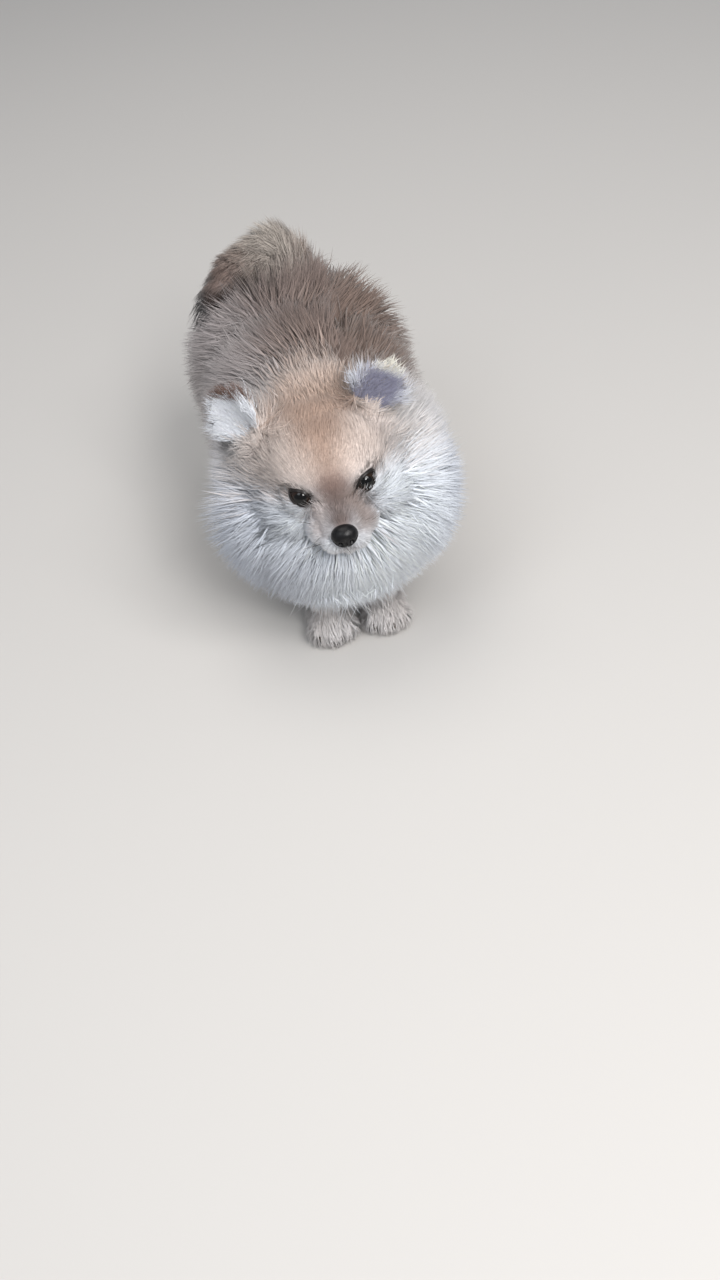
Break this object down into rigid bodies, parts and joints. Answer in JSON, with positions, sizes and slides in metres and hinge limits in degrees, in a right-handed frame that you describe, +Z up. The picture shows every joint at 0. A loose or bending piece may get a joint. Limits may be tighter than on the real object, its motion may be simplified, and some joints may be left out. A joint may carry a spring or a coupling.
{
  "type": "standing pomeranian",
  "caption": "Young pomeranian standing with its head low, thick cream and orange coat, small upright ears and a tail curled over its back.",
  "frame": {"origin": "on the floor under the middle of the outline", "axes": "+Z up; the dog faces -Y, along the longest extent; +X is the dog's left"},
  "size_m": [0.1835, 0.326, 0.2125],
  "materials": {
    "orange_coat": "soft dense hair, matte",
    "cream_coat": "long soft hair, matte",
    "sable_coat": "long hair with darker guard hairs, matte",
    "nose_leather": "moist, pebbled",
    "eye_gloss": "wet gloss",
    "claw_horn": "smooth horn"
  },
  "bodies": {
    "root": {"head": "orange_coat", "jaw": "cream_coat", "nose": "nose_leather", "neck": "cream_coat", "trunk": "sable_coat", "tail_base": "cream_coat", "tail_tip": "sable_coat", "eye_right": "eye_gloss", "ear_right": "cream_coat", "eye_left": "eye_gloss", "ear_left": "cream_coat", "paw_fore_right": "cream_coat", "leg_fore_right": "cream_coat", "claw_fore_right_1": "claw_horn", "claw_fore_right_2": "claw_horn", "claw_fore_right_3": "claw_horn", "claw_fore_right_4": "claw_horn", "paw_fore_left": "cream_coat", "leg_fore_left": "cream_coat", "claw_fore_left_1": "claw_horn", "claw_fore_left_2": "claw_horn", "claw_fore_left_3": "claw_horn", "claw_fore_left_4": "claw_horn", "paw_hind_right": "cream_coat", "leg_hind_right": "cream_coat", "claw_hind_right_1": "claw_horn", "claw_hind_right_2": "claw_horn", "claw_hind_right_3": "claw_horn", "claw_hind_right_4": "claw_horn", "paw_hind_left": "cream_coat", "leg_hind_left": "cream_coat", "claw_hind_left_1": "claw_horn", "claw_hind_left_2": "claw_horn", "claw_hind_left_3": "claw_horn", "claw_hind_left_4": "claw_horn"}
  },
  "joints": []
}
